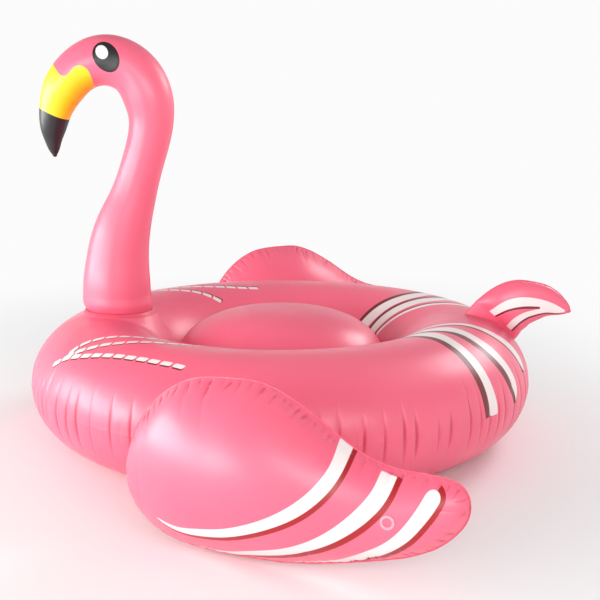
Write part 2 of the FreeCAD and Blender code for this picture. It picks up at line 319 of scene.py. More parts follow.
def ring_relief(t, s):
    """Folds across the outer weld and small ones round the cushion."""
    x = RING_AT[:, None] + 0 * s
    y = (TUBE_A + TUBE_B) / 2 * np.where(s > PI, s - 2 * PI, s)
    long = creases(x, y, RING_LENGTH, (0.034, 0.078), (0.0045, 0.0095), (0.0030, 0.0052),
                   (0.085, 0.150), 0.04, 3)
    fine = creases(x, y, RING_LENGTH, (0.030, 0.080), (0.0008, 0.0022), (0.0025, 0.004),
                   (0.03, 0.09), 0.10, 4)
    yi = 0.2 * (s - PI)
    inner = creases(x, yi, RING_LENGTH, (0.05, 0.12), (0.001, 0.003), (0.006, 0.012),
                    (0.05, 0.09), 0.1, 5)
    return long + fine + inner


# fillet of the ring's film round the neck's foot
FOOT_R, FOOT_Z, FOOT_SLOPE, FOOT_SOFT, FOOT_BACK = 0.106, 0.386, 1.5, 0.014, 0.007


def pulled_up(x, y, z):
    """Height of the ring's film where the neck's foot draws it up into a fillet."""
    gap = np.hypot(x, y - NECK_FOOT_Y - FOOT_BACK - SHIFT_Y) - FOOT_R
    cone = FOOT_Z - FOOT_SLOPE * np.maximum(gap, 0) + 0.004 * np.exp(-np.maximum(gap, 0) / 0.02)
    rise = cone - z
    lift = (rise + np.hypot(rise, FOOT_SOFT)) / 2 * bump(np.clip(gap, 0, 0.09) / 0.09)
    return z + np.where(z > TUBE_Z, lift, 0)


def ring_sheet(s_values, grow=0.0):
    """Folded film of the ring at the given angles round the tube."""
    t, s = np.meshgrid(t_fine, s_values, indexing="ij")
    relief = ring_relief(t, s)
    p = ring_point(t, s, relief + grow)
    p[..., 2] = pulled_up(p[..., 0], p[..., 1], p[..., 2])
    return p, t, s, {"fold": -relief}


def on_ring(marks, count):
    """Smooth line on the tube through (t, s) marks in degrees."""
    line = spline(np.radians(np.asarray(marks, float)), count)
    return ring_point(line[:, 0], line[:, 1])


SHADE_WIDER = 1.8         # a stripe's dark edge against its marks


def ring_band(t, s, inner, outer, dark, low, high, round_end=0.012):
    """Printed stripe: its two edges and its dark edge are angles t at heights s, in degrees."""
    td, sd = np.degrees(t), np.degrees(s)
    td = np.abs(np.where(td > 180, td - 360, td))
    scale = (PATH_X + TUBE_A * np.cos(s)) * PI / 180

    def edge(marks):
        line = spline(np.asarray(marks, float)[:, ::-1], 200)
        order = np.argsort(line[:, 0])
        return np.interp(sd, line[order, 0], line[order, 1])

    a, b, c = edge(inner), edge(outer), edge(dark)
    ends = np.maximum((low - sd) * 0.0035, (sd - high) * 0.0035)
    white = np.maximum(a - td, td - b) * scale
    corner = np.hypot(np.maximum(white + round_end, 0), np.maximum(ends + round_end, 0)) - round_end
    white = np.maximum(corner, np.minimum(white, ends))
    shade = np.maximum(np.maximum((a + b) / 2 - td, td - b - SHADE_WIDER * (c - b)) * scale, ends)
    return white, shade


# (t, s) marks in degrees, from the cushion over the crest and down the outside
STRIPES = [
    ([(42, 150), (38.8, 136), (36.8, 125), (34.6, 113), (32.6, 101), (32, 92), (33.4, 77.5),
      (34.6, 62.6), (35.2, 48), (35.5, 35), (35.6, 20), (35.4, 8), (35.3, -3)],
     [(48.5, 150), (45, 133), (42.2, 119), (39.6, 106), (37.8, 93), (37.2, 82), (37.6, 70),
      (38, 58), (38.3, 45), (38.4, 32), (38.4, 18), (38.2, 7), (37.8, -3)],
     [(49.6, 150), (46.3, 133), (43.6, 119), (41.0, 106), (39.2, 93), (38.6, 82), (38.9, 70),
      (39.2, 58), (39.4, 45), (39.5, 32), (39.5, 18), (39.3, 7), (38.9, -3)], 0.0, 156),
    ([(34.6, 152), (31.6, 139), (29.2, 128), (26.6, 116), (24.4, 104), (22.6, 93), (22.8, 82),
      (24.0, 69), (24.5, 54), (24.6, 41), (24.4, 28), (24.5, 16), (25.4, 6), (27, -4)],
     [(39.2, 152), (36.8, 138), (34.4, 126), (32.0, 114), (29.8, 102), (28.0, 90), (27.3, 80),
      (27.9, 67), (28.3, 54), (28.0, 42), (27.3, 30), (26.8, 18), (26.2, 8), (25.8, -2)],
     [(40.2, 152), (37.8, 138), (35.5, 126), (33.1, 114), (30.9, 102), (29.2, 90), (28.7, 80),
      (29.3, 67), (29.6, 54), (29.3, 42), (28.6, 30), (28.0, 18), (27.2, 8), (26.4, -2)], -1.0, 156),
    ([(31, 152), (27.4, 140), (24.4, 129), (21.4, 118), (18.6, 106), (16.4, 95), (14.6, 83),
      (14.0, 70), (13.4, 58), (12.6, 47), (12.6, 36), (13.6, 26), (16, 16)],
     [(32.6, 152), (29.4, 140), (26.6, 129), (23.8, 118), (21.2, 106), (18.8, 95), (17.2, 83),
      (16.8, 70), (16.8, 58), (16.5, 47), (16.4, 36), (16.2, 26), (15.6, 16)],
     [(33.2, 152), (30.0, 140), (27.3, 129), (24.5, 118), (21.9, 106), (19.5, 95), (17.9, 83),
      (17.5, 70), (17.4, 58), (17.0, 47), (16.9, 36), (16.6, 26), (15.9, 16)], 18.0, 156),
]
DASHES = [
    [(150.5, 34), (148.4, 40.3), (146.2, 45.9), (143.2, 50.1), (139.6, 54.3), (136, 58), (132.4, 60.8),
     (128.8, 62.6), (125, 63.6), (121.2, 64), (117.2, 63.6), (113.6, 63.0), (109.8, 61.0)],
    [(147.5, 43), (144.6, 54.7), (141.8, 62.1), (139, 69.6), (135.8, 76.1), (132.6, 82.6),
     (129.2, 88), (125, 92.5), (120.6, 96.5), (116, 100.3), (111, 104), (106, 106.6), (101.5, 108)],
    [(147.2, 48), (146.6, 61.7), (144.6, 71.9), (141.6, 82), (137.4, 91), (132.6, 99),
     (128.2, 107), (124.3, 116), (120.4, 126.5)],
]
DASH_PITCH, DASH_LONG, DASH_WIDE, DASH_ROUND = 0.0400, 0.0168, 0.0082, 0.0050


def ring_inks(t, s, points, normals):
    """Distance fields of everything printed on the ring's upper panel, the same on both sides."""
    white = np.full(t.shape, 1.0)
    dark = np.full(t.shape, 1.0)
    for inner, outer, shade, low, high in STRIPES:
        w, d = ring_band(t, s, inner, outer, shade, low, high)
        white, dark = np.minimum(white, w), np.minimum(dark, d)
    flat = points.reshape(-1, 3).copy()
    norm = normals.reshape(-1, 3).copy()
    left = np.where(flat[:, 0] < 0, -1, 1)
    flat[:, 0] *= left
    norm[:, 0] *= left
    dash = np.full(len(flat), 1.0)
    drop = np.full(len(flat), 1.0)
    front = flat[:, 1] < 0.05
    near, up = flat[front], norm[front]
    for marks in DASHES:
        line = on_ring(marks, 500)
        run = np.concatenate([[0], np.cumsum(np.linalg.norm(np.diff(line, axis=0), axis=1))])
        dist, index = nearest(near, line)
        along = unit(np.gradient(line, axis=0))[index]
        away = near - line[index]
        slide = (away * along).sum(-1)
        at = run[index] + slide
        side = (np.cross(along, away) * up).sum(-1)
        count = round((run[-1] - 0.01) / DASH_PITCH)
        pitch = run[-1] / count

        def marks_at(shift, drop_by):
            local = (at + shift - 0.25 * side) / pitch
            cell = np.clip(np.round(local - 0.5), 0, count - 1)
            lx = np.abs(local - 0.5 - cell) * pitch - (DASH_LONG - DASH_ROUND)
            ly = np.abs(side + drop_by) - (DASH_WIDE - DASH_ROUND)
            return (np.hypot(np.maximum(lx, 0), np.maximum(ly, 0))
                    + np.minimum(np.maximum(lx, ly), 0) - DASH_ROUND)

        dash[front] = np.minimum(dash[front], marks_at(0, 0))
        drop[front] = np.minimum(drop[front], marks_at(-0.0030, 0.0056))
    return {"ink_white": white, "ink_dark": dark, "ink_dash": dash, "ink_drop": drop}


ring_material = film("ring_film", inks=(("ink_dark", MAROON), ("ink_white", WHITE),
                                        ("ink_drop", MAROON), ("ink_dash", WHITE)))
plain_material = film("plain_film")
weld_material = film("weld_film", base=(0.74, 0.075, 0.135, 1), rough=0.46)

p, t, s, folds = ring_sheet(np.linspace(0, PI, 150))
grid_piece("ring_upper_panel", p, "ring", ring_material, wrap_u=True,
           fields=folds | ring_inks(t, s, p, -grid_normals(p, True)), nodes=["ring_upper_skin"])
p, t, s, folds = ring_sheet(np.linspace(PI, 2 * PI, 76))
grid_piece("ring_lower_panel", p, "ring", plain_material, wrap_u=True,
           fields=folds, nodes=["ring_lower_skin"])
edge = np.array([-1.5, -1.2, -0.4, 0.4, 1.2, 1.5])
p, t, s, folds = ring_sheet(np.radians(edge), 0.0005 - 0.0004 * np.abs(edge) ** 2)
grid_piece("ring_weld_line", p, "ring", plain_material, wrap_u=True, fields=folds,
           nodes=["ring_outer_weld"])


# ------------------------------------------------------------------ seat cushion
def cushion(rise, base, rows=70, around=480, seed=8):
    """Half of the domed cushion, upper if rise is positive, with folds round its rim."""
    theta = np.linspace(0, 2 * PI, around, endpoint=False)
    turn = np.linspace(0, PI / 2, rows)
    th, tu = np.meshgrid(theta, turn, indexing="ij")
    r = np.cos(tu) ** (2 / SEAT_POWER)
    z = base + rise * np.sin(tu) ** (2 / SEAT_POWER)
    p = np.stack([SEAT_X * r * np.sin(th), SEAT_Y * r * np.cos(th) + SHIFT_Y, z], -1)
    n = grid_normals(p, True)
    n = n * np.sign((n * (p - np.array([0, SHIFT_Y, base]))).sum(-1, keepdims=True) + 1e-9)
    x = th * SEAT_MEAN
    y = np.abs(z - base)
    relief = creases(x, y, 2 * PI * SEAT_MEAN, (0.03, 0.06), (0.001, 0.004), (0.004, 0.009),
                     (0.06, 0.14), 0.1, seed)
    relief[:, -3:] = 0
    return p + n * relief[..., None], {"fold": -relief}


p, folds = cushion(SEAT_RISE, TUBE_Z + 0.0012)
grid_piece("seat_top_panel", p, "ring", plain_material, wrap_u=True, fields=folds,
           nodes=["seat_upper_skin"])
p, folds = cushion(-SEAT_DROP, TUBE_Z - 0.0012, 48, 360, 9)
grid_piece("seat_under_panel", p, "ring", plain_material, wrap_u=True, flip=True, fields=folds,
           nodes=["seat_lower_skin"])
turn, round_bead = np.meshgrid(np.linspace(0, 2 * PI, 400, endpoint=False), np.linspace(0, 2 * PI, 9),
                               indexing="ij")
wide = 0.0010 + 0.0030 * np.cos(round_bead)
p = np.stack([(SEAT_X + wide) * np.sin(turn), (SEAT_Y + wide) * np.cos(turn) + SHIFT_Y,
              TUBE_Z + 0.0016 * np.sin(round_bead)], -1)
grid_piece("seat_rim_weld_line", p, "ring", weld_material, wrap_u=True, nodes=["seat_rim_weld"])


# ------------------------------------------------------------------ neck, head and beak
def ring_height(x, y):
    """Height of the ring's upper surface above a point."""
    d, _ = nearest(np.stack([x.ravel(), y.ravel()], -1), RING_PATH)
    z = (TUBE_Z + TUBE_B * np.sqrt(np.clip(1 - (d / TUBE_A) ** 2, 0, 1))).reshape(x.shape)
    return pulled_up(x, y, z)


def tube_sheet(line, side, plump, count, around):
    """Half of a tapering bag that follows a line in the mid-plane; phi 0 is its outer edge."""
    run = spline(line, count)
    place = np.stack([np.zeros(count), run[:, 0] + SHIFT_Y, run[:, 1]], -1)
    half = run[:, 2]
    along = unit(np.gradient(place, axis=0))
    across = np.stack([np.zeros(count), along[:, 2], -along[:, 1]], -1)
    phi = np.linspace(0, PI, around)
    sideways = np.array([side, 0, 0])
    if np.ndim(plump) == 0:
        plump = np.full(count, plump)
    p = (place[:, None] + across[:, None] * (half[:, None, None] * np.cos(phi)[None, :, None])
         + sideways * ((half * plump)[:, None, None] * np.sin(phi)[None, :, None]))
    return p, phi


def capped(p, rows=7):
    """The sheet with its last row drawn together into a rounded tip."""
    centre = (p[-1, 0] + p[-1, -1]) / 2
    size = np.linalg.norm(p[-1, 0] - p[-1, -1]) / 2
    ahead = unit(centre - (p[-5, 0] + p[-5, -1]) / 2)
    k = np.linspace(0, PI / 2, rows)[1:, None, None]
    return np.vstack([p, centre + (p[-1] - centre)[None] * np.cos(k) + ahead * size * np.sin(k)])


def neck_sheet(side, count=300, around=72, foot_rows=18):
    """Neck, head and beak panel, with the soft collar that stands on the ring."""
    p, phi = tube_sheet(NECK_LINE, side, 1.0, count, around)
    f = np.linspace(0, 1, foot_rows, endpoint=False)[:, None]
    belly = 0.94 + 0.085 * np.sin(np.minimum(f * 1.6, 1) * PI / 2) - 0.025 * f ** 2
    r = FOOT_R * belly
    x = side * r * np.sin(phi)[None]
    y = NECK_FOOT_Y + SHIFT_Y + FOOT_BACK * (1 - f) ** 2 + r * np.cos(phi)[None]
    foot = ring_height(x[:1], y[:1]) - 0.002
    z = foot + (p[0, :, 2][None] - foot) * f
    low = np.stack([x, y, z], -1)
    return capped(np.vstack([low, p]))


# edges of the beak's colours, (y, z) in millimetres
YELLOW_EDGE = [(-712, 1168), (-680, 1146), (-664, 1130), (-651, 1115), (-637, 1110), (-622, 1119),
               (-609, 1133), (-595, 1140), (-577, 1138), (-564, 1126), (-558, 1108), (-556, 1080),
               (-554, 1050)]
BLACK_EDGE = [(-760, 1026), (-714, 1010), (-675, 991), (-636, 977), (-600, 968)]
BEAK_BACK, BEAK_LOW, TIP_HIGH = -0.535, 0.84, 1.05    # where those edges may print
NO_INK, NO_EYE = 0.2, 5.0
EYE_AT, EYE_SIZE = (-0.5080, 1.1648), (0.0478, 0.0365)
GLINT_AT, GLINT_SIZE = (-0.5205, 1.1790), (0.0215, 0.0175)
EYE_LEAN = math.radians(-55)
EYE_LONG = np.array([math.cos(EYE_LEAN), math.sin(EYE_LEAN)])
EYE_SHORT = np.array([-EYE_LONG[1], EYE_LONG[0]])


def oval(flat, at, size):
    """Field of a leaning oval, below 0 inside it, and the distance along its long axis."""
    q = flat - np.array(at)
    along = q @ EYE_LONG
    return np.hypot(along / size[0], (q @ EYE_SHORT) / size[1]) - 1, along


def beak_fields(p, across):
    """Distance fields of the beak's colours and the eye."""
    flat = p.reshape(-1, 3)[:, 1:]
    flat = flat - np.array([SHIFT_Y, 0])
    yellow = side_distance(flat, spline(np.array(YELLOW_EDGE) / 1000, 400))
    black = side_distance(flat, spline(np.array(BLACK_EDGE) / 1000, 200))
    beak = (flat[:, 0] < BEAK_BACK) & (flat[:, 1] > BEAK_LOW)
    eye, eye_along = oval(flat, EYE_AT, EYE_SIZE)
    glint, _ = oval(flat, GLINT_AT, GLINT_SIZE)
    return {"ink_yellow": np.where(beak, yellow, NO_INK),
            "ink_black": np.where(beak & (flat[:, 1] < TIP_HIGH), black, NO_INK),
            "eye": np.where(flat[:, 1] > 1.0, eye, NO_EYE), "glint": glint, "eye_along": eye_along,
            "underside": across.ravel()}


def head_colours(n, colour):
    """Yellow and black beak, the yellow with painted shade turning it orange towards its underside edge,
    and a black eye with a white glint, over the film's pink.
    """
    # painted shade: the yellow turns orange towards the beak's underside edge
    yellow = n.mix(n.ramp(n.field("underside"), -1.0, -0.35), (0.86, 0.40, 0.003, 1),
                   (0.88, 0.62, 0.003, 1))
    colour = n.mix(n.inside(n.field("ink_yellow")), colour, yellow)
    colour = n.mix(n.inside(n.field("ink_black")), colour, (0.004, 0.002, 0.004, 1))
    inner = n.mix(n.ramp(n.field("eye_along"), 0.0, 0.04), (0.003, 0.002, 0.002, 1),
                  (0.030, 0.028, 0.028, 1))
    rim = n.ramp(n.field("eye"), -0.20, -0.12)
    eye = n.mix(rim, inner, (0.004, 0.001, 0.002, 1))
    colour = n.mix(n.inside(n.field("eye"), 0.012), colour, eye)
    glint = n.mix(n.ramp(n.field("glint"), -0.14, -0.05), (0.95, 0.93, 0.93, 1), (0.70, 0.66, 0.66, 1))
    return n.mix(n.inside(n.field("glint"), 0.03), colour, glint)


def bend_neck(obj):
    """Bakes the panel's placement into its mesh."""
    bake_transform(obj)


head_material = film("head_film", extra=head_colours)
for side, word in ((1, "left"), (-1, "right")):
    p = neck_sheet(side)
    across = np.cos(np.linspace(0, PI, p.shape[1]))[None] + np.zeros(p.shape[:2])
    obj = grid_piece(f"neck_{word}_panel", p, None, head_material, flip=side < 0,
                     fields=beak_fields(p, across))
    bend_neck(obj)
    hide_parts(f"neck_{word}_skin", "neck_collar")


def ridge(edge, out, proud, half_width, sink=0.0012):
    """Low rounded weld line along an edge in the mid-plane."""
    rows = []
    for o, x in ((-sink / proud, -1.0), (0.35, -0.72), (0.9, -0.34), (1, 0), (0.9, 0.34), (0.35, 0.72),
                 (-sink / proud, 1.0)):
        q = edge + out * proud * o
        q[:, 0] += x * half_width
        rows.append(q)
    return np.stack(rows, 1)


def bag_outline(p):
    """Outline of a bag from one panel's two edges, up one side, round the tip and back."""
    a, b = p[:-1, 0].copy(), p[:-1, -1].copy()
    a[:, 0] = b[:, 0] = 0
    loop = np.vstack([a, b[::-1]])
    along = unit(np.gradient(loop, axis=0))
    out = np.stack([np.zeros(len(loop)), -along[:, 2], along[:, 1]], -1)
    return loop, out * np.sign((out[0] * (a[0] - b[0])).sum())


p = neck_sheet(1)
edge, out = bag_outline(p)
across = np.repeat([1.0, -1.0], len(edge) // 2)
strip = ridge(edge, out, 0.0009, 0.0045)
obj = grid_piece("neck_weld_line", strip, None, head_material,
                 fields=beak_fields(strip, across[:, None] + np.zeros(strip.shape[:2])))
bend_neck(obj)
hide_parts("neck_seam")
turn = np.linspace(0, 2 * PI, 360, endpoint=False)
rows = []
for r, up in ((0.1015, -0.001), (0.1045, 0.0016), (0.1080, 0.0022), (0.1120, 0.0014), (0.1155, -0.001)):
    x, y = r * np.sin(turn), r * np.cos(turn) + NECK_FOOT_Y + FOOT_BACK + SHIFT_Y
    rows.append(np.stack([x, y, ring_height(x, y) + up], -1))
grid_piece("neck_foot_weld_line", np.stack(rows, 1), "ring", weld_material, wrap_u=True,
           nodes=["neck_foot_weld"])


# ------------------------------------------------------------------ tail
# distance along the tail's centre line, distance below it, in millimetres
TAIL_TOP = [(-10, -42), (7, -38), (37, -35.5), (69, -31), (99, -24), (133, -15), (170, -6),
            (205, -1), (236, 4)]
TAIL_GAP_TOP = [(-10, -19), (11, -15), (40, -9), (75, 0), (113, 7.5), (146, 12.5)]
TAIL_GAP_DARK = [(-10, -14), (11, -9), (42, -2), (78, 8), (112, 15.5), (146, 18.5)]
TAIL_GAP_LOW = [(-10, 37), (27, 29.5), (64, 25.5), (104, 23), (146, 20)]
TAIL_LOW = [(-10, 56), (36, 51), (92, 43), (133, 37), (183, 29), (215, 21), (236, 10)]
TAIL_LOW_DARK = [(-10, 61), (36, 57), (92, 49.5), (133, 43), (183, 34), (215, 25), (236, 12)]
TAIL_GAP_END = 0.146
TAIL_EDGE_RUN = 0.62    # both edges of the tail


def tail_inks(along, below):
    """Distance fields of the tail's white stripe, the pink gap in it and its dark edges."""
    def edge(marks):
        line = spline(np.asarray(marks, float) / 1000, 200)
        return np.interp(along, line[:, 0], line[:, 1])

    ends = np.maximum(0.004 - along, along - 0.234)
    past = along - TAIL_GAP_END
    gap = np.maximum(np.maximum(edge(TAIL_GAP_TOP) - below, below - edge(TAIL_GAP_LOW)), past)
    white = np.maximum(np.maximum(edge(TAIL_TOP) - below, below - edge(TAIL_LOW)), ends)
    white = np.maximum(white, -gap)
    dark = np.maximum(np.maximum(edge(TAIL_GAP_TOP) - below, below - edge(TAIL_GAP_DARK)), past)
    low = np.maximum(edge(TAIL_LOW) - 0.004 - below, below - edge(TAIL_LOW_DARK))
    return {"ink_white": white, "ink_dark": np.maximum(np.minimum(dark, low), ends)}


def tail_sheet(side, count=200, around=72, foot_rows=16):
    """Tail panel with its flat foot of film, which runs down into the ring's crown."""
    x = np.linspace(0, 1, count)
    plump = TAIL_PLUMP * (1 - (1 - np.clip(x / 0.20, 0, 1)) ** 2 * 0.60)
    p, phi = tube_sheet(TAIL_LINE, side, plump, count, around)
    run = spline(TAIL_LINE, count)
    at = np.concatenate([[0], np.cumsum(np.linalg.norm(np.diff(run[:, :2], axis=0), axis=1))])
    along = at[:, None] + 0 * phi[None]
    below = run[:, 2][:, None] * np.cos(phi)[None]
    edge_at = np.where(phi[None] < PI / 2, along, TAIL_EDGE_RUN - along)
    edge_gap = run[:, 2][:, None] * np.minimum(phi, PI - phi)[None]
    relief = creases(edge_at, edge_gap, TAIL_EDGE_RUN, (0.016, 0.034), (0.0010, 0.0036), (0.0020, 0.0038),
                     (0.012, 0.034), 0.3, 51 + side)
    relief *= np.clip(edge_gap / 0.004, 0, 1) * np.clip((along - 0.03) / 0.04, 0, 1)
    n = grid_normals(p)
    n *= np.sign((n * np.array([side, 0, 0])).sum(-1, keepdims=True) + 1e-9)
    p = p + n * relief[..., None]
    down = np.array([0, run[0, 0] - run[2, 0], run[0, 1] - run[2, 1]])
    down = down / np.linalg.norm(down)
    foot = p[0].copy()
    for _ in range(140):
        clear = foot[:, 2] > ring_height(foot[:, 0], foot[:, 1]) - 0.004
        foot[clear] += down * 0.0005
    foot[:, 0] *= 0.6
    f = np.linspace(1, 0, foot_rows, endpoint=False)[:, None, None]
    low = p[0][None] * (1 - f) + foot[None] * f
    pad = np.zeros((foot_rows, around))
    p = capped(np.vstack([low, p]))
    tip = np.zeros((len(p) - count - foot_rows, around))
    fold = np.vstack([pad, -relief, tip])
    return (p, np.vstack([pad - 0.05, along, tip + along[-1]]),
            np.vstack([pad + below[:1], below, tip]), fold)


tail_material = film("tail_film", inks=(("ink_dark", MAROON), ("ink_white", WHITE)))


def bend_tail(obj):
    """Bakes the panel's placement into its mesh."""
    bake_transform(obj)


for side, word in ((1, "left"), (-1, "right")):
    p, along, below, fold = tail_sheet(side)
    obj = grid_piece(f"tail_{word}_panel", p, None, tail_material, flip=side < 0,
                     fields=tail_inks(along, below) | {"fold": fold})
    bend_tail(obj)
    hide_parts(f"tail_{word}_skin")
edge, out = bag_outline(p)
strip = ridge(edge, out, 0.0022, 0.0011)
obj = grid_piece("tail_weld_line", strip, None, weld_material)
bend_tail(obj)
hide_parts("tail_seam", "tail_root_weld")


# ------------------------------------------------------------------ wings
W_OUT = np.array([math.cos(WING_YAW), -math.sin(WING_YAW), 0])
W_BACK = np.array([math.sin(WING_YAW), math.cos(WING_YAW), 0])
W_UP = np.array([0, 0, 1.0])
W_O = np.array([WING_AT_X, SHIFT_Y, WING_Z])
HANG_FROM, HANG_SLOPE, HANG_SOFT = 0.220, 0.21, 0.040


def hang(h):
    """How far the right wing's tip hangs lower than the left one's."""
    x = h - HANG_FROM
    return HANG_SLOPE * (x + np.hypot(x, HANG_SOFT)) / 2


class Wing:
    """One wing: a flat bag whose mid-plane stands beside the ring."""

    def __init__(self, word, side, hung):
        self.word, self.side = word, side
        self.body = f"wing_{word}"
        marks = WING_EDGE.copy()
        self.drop = hang if hung else (lambda h: 0 * h)
        marks[:, 1] -= self.drop(marks[:, 0])
        self.edge = spline(marks, 1600, closed=True)
        self.edge = np.roll(self.edge, -self.edge[:, 0].argmin(), axis=0)
        self.at = np.cumsum(np.linalg.norm(self.edge - np.roll(self.edge, 1, 0), axis=1))
        far = self.edge[:, 0].argmax()
        self.upper = self.edge[:far + 1]
        self.lower = np.vstack([self.edge[far:], self.edge[:1]])[::-1]

    def span(self, h):
        """Heights of the upper and lower edges at h."""
        return (np.interp(h, self.upper[:, 0], self.upper[:, 1]),
                np.interp(h, self.lower[:, 0], self.lower[:, 1]))

    def place(self, h, v, w):
        """World point at h rearwards, v upwards and w outwards in the wing's own frame."""
        h, v, w = np.broadcast_arrays(h, v, w)
        p = W_O + W_BACK * h[..., None] + W_UP * v[..., None] + W_OUT * w[..., None]
        return p * np.array([self.side, 1, 1])

    def ruffle(self, at):
        """Sideways wave of the outer edge, in step with the folds."""
        wave = np.zeros_like(at)
        r = np.random.default_rng(31)
        for k in range(9, 60, 3):
            wave += r.normal() * np.sin(2 * PI * k * at / self.at[-1] + r.uniform(0, 6.3)) / 9
        return wave

    def sheet(self, face, stations=420, around=150):
        """Outer (face 1) or inner (face -1) panel, a circular arc across at every station."""
        turn = np.linspace(0, PI, stations)
        h0, h1 = self.edge[:, 0].min() + 0.0002, self.edge[:, 0].max() - 0.0002
        h = (h0 + h1) / 2 - (h1 - h0) / 2 * np.cos(turn)
        top, low = self.span(h)
        half = (top - low) / 2
        open_angle = 2 * math.atan(WING_PLUMP)
        a = np.linspace(-open_angle, open_angle, around)
        radius = half / math.sin(open_angle)
        v = ((top + low) / 2)[:, None] + radius[:, None] * np.sin(a)[None]
        w = radius[:, None] * (np.cos(a)[None] - math.cos(open_angle))
        w = w * (1 - WING_SLIM * np.clip((WING_SLIM_TO - h) / 0.25, 0, 1) ** 1.5)[:, None]
        hh = h[:, None] + 0 * v
        dist, index = nearest(np.stack([hh.ravel(), v.ravel()], -1), self.edge[::2])
        x = self.at[index * 2].reshape(v.shape)
        y = dist.reshape(v.shape)
        length = self.at[-1]
        relief = creases(x, y, length, (0.018, 0.034), (0.0030, 0.0075), (0.0022, 0.0038),
                         (0.014, 0.040), 0.45, 21 + face)
        relief += creases(x, y, length, (0.05, 0.16), (0.001, 0.0032), (0.006, 0.012),
                          (0.06, 0.14), 0.3, 41 + face)
        relief *= np.clip(y / 0.004, 0, 1)
        p = self.place(hh, v, (w + 0.0008) * face)
        n = grid_normals(p)
        out = W_OUT * np.array([self.side, 1, 1]) * face
        n *= np.sign((n * out).sum(-1, keepdims=True) + 1e-9)
        return p + n * relief[..., None], hh, v, {"fold": -relief}

    def seam(self, count=1400, proud=0.0030):
        """Pressed weld round the wing: a thin fin that waves with the folds."""
        ring = np.linspace(0, len(self.edge), count, endpoint=False).astype(int)
        edge = self.edge[ring]
        along = unit(np.roll(edge, -1, 0) - np.roll(edge, 1, 0))
        out = np.stack([-along[:, 1], along[:, 0]], -1)
        out *= np.sign((out * (edge - edge.mean(0))).sum(-1).sum())
        wave = 0.0013 * self.ruffle(self.at[ring])
        reach = proud + 0.0006 * self.ruffle(self.at[ring][::-1])
        rows = []
        for o, w in ((-1.2, -1), (0.55, -0.9), (0.95, -0.35), (0.95, 0.35), (0.55, 0.9), (-1.2, 1)):
            q = edge + out * (reach * o)[:, None]
            rows.append(self.place(q[:, 0], q[:, 1], wave * max(o, 0) + w * 0.0009))
        return np.stack(rows, 1)


WINGS = [Wing("left", 1, False), Wing("right", -1, True)]

# centre lines (h, v), half widths and dark edges, in millimetres
WING_BANDS = [
    ([(-222, -93), (-207, -98), (-170, -106), (-104, -98.5), (-39, -83.5), (24, -61.5), (83, -35),
      (136, -4), (175, 28), (202, 61), (215, 91), (217, 118), (213, 150)],
     [1.5, 3.5, 7, 11, 12, 12.3, 13, 14.3, 14.8, 15, 14.5, 14, 14],
     [0, 2, 6, 9, 10.5, 11.5, 12, 12, 11.5, 11, 10.5, 10, 10], None),
    ([(-225, -163), (-190, -170), (-138, -172), (-50, -160), (30, -136), (98, -117), (158, -92),
      (216, -57), (257, -24), (291, 11), (314, 48), (322, 92)],
     [1, 2, 4, 7.5, 9.3, 10.7, 12.3, 14.6, 16.2, 17.6, 18.4, 18.6],
     [0, 1, 4, 7.5, 10, 12, 13, 14, 14, 13.5, 13, 13], (0.20, 0.98, 140.0)),
    ([(20, -184), (60, -178), (120, -167), (190, -150), (216, -141), (270, -114), (323, -81),
      (366, -43), (397, -2), (416, 30), (423, 45)],
     [1, 2, 5, 8.5, 9.7, 12, 12.8, 14, 15.2, 16.5, 17],
     [1, 2, 5, 7.5, 9, 10.5, 11.5, 12, 12, 11.5, 11], None),
]


def wing_inks(wing, hh, v):
    """Distance fields of the wing's white stripes and their dark lower edges."""
    flat = np.stack([hh.ravel(), (v + wing.drop(hh)).ravel()], -1)
    white = np.full(len(flat), 1.0)
    dark = np.full(len(flat), 1.0)
    for marks, half, shade, cut in WING_BANDS:
        table = np.column_stack([marks, half, shade]) / 1000
        line = spline(table, 400)
        dist, index = nearest(flat, line[:, :2])
        along = np.gradient(line[:, :2], axis=0)[index]
        away = flat - line[index, :2]
        side = along[:, 0] * away[:, 1] - along[:, 1] * away[:, 0]
        side = dist * np.sign(side)
        w = dist - line[index, 2]
        d = np.where(side < 0, dist - line[index, 2] - line[index, 3], 1.0)
        if cut:
            end = flat @ np.array(cut[:2]) - cut[2] / 1000
            w, d = np.maximum(w, end), np.maximum(d, end - 0.001)
        white, dark = np.minimum(white, w), np.minimum(dark, d)
    return {"ink_white": white, "ink_dark": dark}


wing_material = film("wing_film", inks=(("ink_dark", CRIMSON), ("ink_white", WHITE)))
for wing in WINGS:
    for face, skin, material in ((1, "outer", wing_material), (-1, "inner", plain_material)):
        p, hh, v, folds = wing.sheet(face)
        grid_piece(f"{wing.body}_{skin}_panel", p, wing.body, material, flip=wing.side * face < 0,
                   fields=folds | wing_inks(wing, hh, v),
                   nodes=[f"{wing.body}_{skin}_skin"])
    grid_piece(f"{wing.body}_weld", wing.seam(), wing.body, weld_material, wrap_u=True,
               flip=wing.side > 0, nodes=[f"{wing.body}_seam"])


# ------------------------------------------------------------------ film hinges of the wings
HINGE_A = np.array([0.7375, -0.233 + SHIFT_Y, TUBE_Z])
HINGE_B = np.array([0.773, -0.012 + SHIFT_Y, TUBE_Z])
HINGE_ALONG = unit(HINGE_B - HINGE_A)
HINGE_OUT = np.array([HINGE_ALONG[1], -HINGE_ALONG[0], 0])


HINGE_HALF_THICK = np.array([0, 0, 0.0007])
SEEK = 0.0005


def reach_of(start, step, inside, limit=0.25):
    """Distance from a point to where a test first turns true."""
    for i in range(int(limit / SEEK)):
        if inside(start + step * i * SEEK):
            return i * SEEK
    return 0.0


def in_ring(q):
    return np.hypot(*(RING_PATH - q[:2]).T).min() < TUBE_A - 0.001


